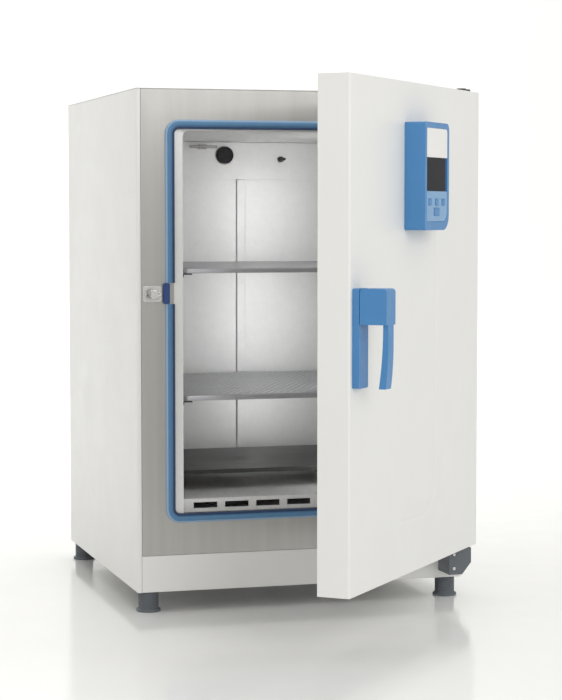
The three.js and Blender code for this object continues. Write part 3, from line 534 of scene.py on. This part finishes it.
def add_catch():
    dress("strike_plate", "steel", edge=0.6 * MM)
    dress("strike_pin", "steel", edge=0.4 * MM)
    low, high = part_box("strike_plate")
    middle = (low + high) / 2
    for number, side in enumerate((-1, 1), 1):
        place = (middle.x + side * 12 * MM, low.y, middle.z)
        screw(f"strike_screw_{number}", place, (0, -1, 0), 2.4 * MM)


# ------------------------------------------------------------------ shelves

PLATE = 1.2 * MM
HOLE_RADIUS = 4.4 * MM
HOLE_PITCH = 13.2 * MM


def add_perforated_shelf(node):
    low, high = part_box(node)
    rim = 14 * MM
    half_x, half_y = (high.x - low.x) / 2 - rim, (high.y - low.y) / 2 - rim
    columns, rows = round(2 * half_x / HOLE_PITCH), round(2 * half_y / HOLE_PITCH)
    pitch = (2 * half_x / columns, 2 * half_y / rows)
    centre = (low + high) / 2
    bm = bmesh.new()
    lay = lambda u, v, depth: (centre.x + u, centre.y + v, high.z - depth)
    pierced(bm, columns, rows, pitch, round_hole(HOLE_RADIUS), PLATE, lay, True)
    mesh = mesh_from(bm, node + "_sheet", 40)
    finished(node + "_sheet", mesh, "shelf_steel", node, (node,))

    lip = high.z - low.z
    rectangle = (centre.x - half_x, centre.x + half_x, centre.y - half_y, centre.y + half_y)
    fold = [(0, 0), (rim - 1.4 * MM, 0), (rim - 0.5 * MM, 0.4 * MM), (rim, 1.4 * MM), (rim, lip)]
    fold += [(rim - PLATE, lip), (rim - PLATE, 1.8 * MM), (rim - 2 * MM, PLATE), (0, PLATE)]
    bm = bmesh.new()
    swept(bm, rectangle, 0.5 * MM, fold, lambda x, y, depth: (x, y, high.z - depth), 4)
    mesh = mesh_from(bm, node + "_rim", 50)
    finished(node + "_rim", mesh, "shelf_steel", node, (node,))


def add_rack():
    """Slotted uprights, and the runners that hook on them."""
    for place in ("front_left", "rear_left", "front_right", "rear_right"):
        node = "shelf_rail_" + place
        low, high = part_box(node)
        centre = (low + high) / 2
        rows = 26
        pitch = (high.y - low.y, (high.z - low.z) / rows)
        hole = slot_hole(4.5 * MM, 3.2 * MM)
        bm = bmesh.new()
        thickness = high.x - low.x
        lay = lambda u, v, depth: (low.x + depth, centre.y + u, centre.z + v)
        pierced(bm, 1, rows, pitch, hole, thickness, lay)
        mesh = mesh_from(bm, node + "_slotted")
        finished(node + "_slotted", mesh, "bright_stainless", "cabinet", (node,))
    for level in ("top", "middle", "lower"):
        for side in ("left", "right"):
            dress(f"shelf_support_{level}_{side}", "dark_steel", edge=0.4 * MM)


def add_shelves():
    add_perforated_shelf("shelf_top")
    add_perforated_shelf("shelf_middle")
    dress("lower_tray", "dark_tray", edge=0.8 * MM)


# ------------------------------------------------------------------ hinges, door and controls


def add_hinges():
    # The bottom bracket's dark slate block also fills where the door's shadow falls on the base fascia beside it,
    # so that dark patch is partly painted shade.
    dress("hinge_bracket_bottom", "slate_plastic", edge=1.2 * MM, segments=3)
    dress("hinge_pin_bottom", "steel", edge=0.3 * MM)
    dress("hinge_bracket_top", "dark_steel", edge=0.4 * MM)
    dress("hinge_pin_top", "dark_steel", edge=0.4 * MM)
    low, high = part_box("hinge_bracket_bottom")
    for number, z in enumerate((low.z + 12 * MM, high.z - 12 * MM), 1):
        place = (low.x + 10 * MM, low.y, z)
        screw(f"bracket_screw_{number}", place, (0, -1, 0), 3.4 * MM)


def groove_cutter(face_y, x, top, bottom, end_x):
    """A tube along the pressed line in the door's skin: down, round a corner and to the left, fading out."""
    tube = 7 * MM
    depth = 1.0 * MM
    corner = 62 * MM
    lift = 4 * MM
    y = face_y - tube + depth
    points = [(x, y - lift, top + 30 * MM), (x, y, top)]
    points += [(x, y, top + (bottom + corner - top) * step / 8) for step in range(1, 9)]
    for step in range(1, 9):
        angle = math.radians(90 * step / 8)
        points.append((x - corner * (1 - math.cos(angle)), y, bottom + corner * (1 - math.sin(angle))))
    points += [(end_x, y, bottom), (end_x - 40 * MM, y - lift, bottom)]
    curve = bpy.data.curves.new("groove", "CURVE")
    curve.dimensions = "3D"
    curve.bevel_depth = tube
    curve.bevel_resolution = 6
    curve.use_fill_caps = True
    line = curve.splines.new("POLY")
    line.points.add(len(points) - 1)
    for point, place in zip(line.points, points):
        point.co = (*place, 1)
    holder = bpy.data.objects.new("groove", curve)
    mesh = bpy.data.meshes.new_from_object(holder)
    bpy.data.objects.remove(holder)
    return mesh


def add_door():
    shell_low = closed_box("door_outer_shell")[0]
    panel_low, panel_high = closed_box("panel_housing")
    groove_x = panel_high.x + 42 * MM
    top, bottom = panel_low.z - 2 * MM, shell_low.z + 95 * MM
    mesh = groove_cutter(shell_low.y, groove_x, top, bottom, groove_x - 170 * MM)
    mesh.transform(opened)
    cutter = bpy.data.objects.new("groove_cutter", mesh)
    bpy.context.scene.collection.objects.link(cutter)
    skin = mesh_from(welded("door_outer_shell"), "door_skin")
    piece = finished("door_skin", skin, "white_paint", "door", ("door_outer_shell",))
    cut = piece.modifiers.new("pressed_line", "BOOLEAN")
    cut.operation = "DIFFERENCE"
    cut.object = cutter
    cut.solver = "EXACT"
    bpy.context.view_layer.update()
    carved = bpy.data.meshes.new_from_object(piece.evaluated_get(bpy.context.evaluated_depsgraph_get()))
    piece.modifiers.clear()
    piece.data = carved
    bpy.data.objects.remove(cutter)
    carved.shade_smooth()
    carved.set_sharp_from_angle(angle=math.radians(4))
    soften(piece, 0.9 * MM, 3)
    dress("door_inner_panel", "stainless", edge=0.8 * MM)


def add_controls():
    dress("panel_housing", "blue_plastic", edge=2.0 * MM, segments=4)
    dress("badge_plate", "white_plastic", edge=0.5 * MM)
    dress("display_window", "display_black", edge=0.5 * MM)
    dress("keypad", "pale_blue_film", edge=0.3 * MM)
    for number in range(1, 5):
        dress(f"key_{number}", "blue_plastic", edge=0.5 * MM, segments=3)


def add_handle():
    dress("handle_base", "blue_plastic", edge=1.0 * MM, segments=3)
    dress("handle_lever", "blue_plastic", edge=1.6 * MM, segments=4)
    dress("handle_pin", "steel", edge=0.2 * MM)
    dress("latch_hook", "steel", edge=0.4 * MM)


def add_services():
    dress("power_inlet", "black_rubber", edge=0.4 * MM)
    low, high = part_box("power_inlet")
    middle = (low + high) / 2
    for number, side in enumerate((-1, 1), 1):
        place = (middle.x + side * 20 * MM, high.y, middle.z)
        screw(f"inlet_screw_{number}", place, (0, 1, 0), 2.2 * MM)


def dress_hidden_nodes():
    """Nodes inside the casing keep their CAD shape."""
    hidden = {
        "insulation_wrap": "mineral_wool",
        "insulation_rear": "mineral_wool",
        "door_insulation": "mineral_wool",
        "heater_element": "dark_steel",
        "control_board": "circuit_green",
    }
    for node, look in hidden.items():
        mesh = nodes[node].data
        mesh.materials.clear()
        mesh.materials.append(looks[look])


# ------------------------------------------------------------------ floor and backdrop


def add_floor():
    floor = Surface("studio_floor", (0.90, 0.90, 0.885), 0.14)
    floor.vary_color(floor.noise(2, detail=2), 0.01)
    floor.vary_roughness(floor.noise(9, detail=3), 0.03)
    half_width, front, flat_end, rise, height = 12, -9, 4.2, 2.2, 7
    profile = [(front, 0), (flat_end, 0)]
    for step in range(1, 13):
        angle = math.radians(90 * step / 12)
        profile.append((flat_end + rise * math.sin(angle), rise * (1 - math.cos(angle))))
    profile.append((flat_end + rise, height))
    bm = bmesh.new()
    sides = [[bm.verts.new((x, y, z)) for y, z in profile] for x in (-half_width, half_width)]
    for k in range(len(profile) - 1):
        bm.faces.new([sides[0][k], sides[1][k], sides[1][k + 1], sides[0][k + 1]])
    mesh = mesh_from(bm, "studio_floor", 60)
    mesh.materials.append(floor.material)
    sweep = bpy.data.objects.new("studio_floor", mesh)
    bpy.context.scene.collection.objects.link(sweep)


add_camera()
add_studio()
add_casing()
add_feet()
add_chamber()
add_seal()
add_catch()
add_rack()
add_shelves()
add_hinges()
add_door()
add_controls()
add_handle()
add_services()
dress_hidden_nodes()
add_floor()
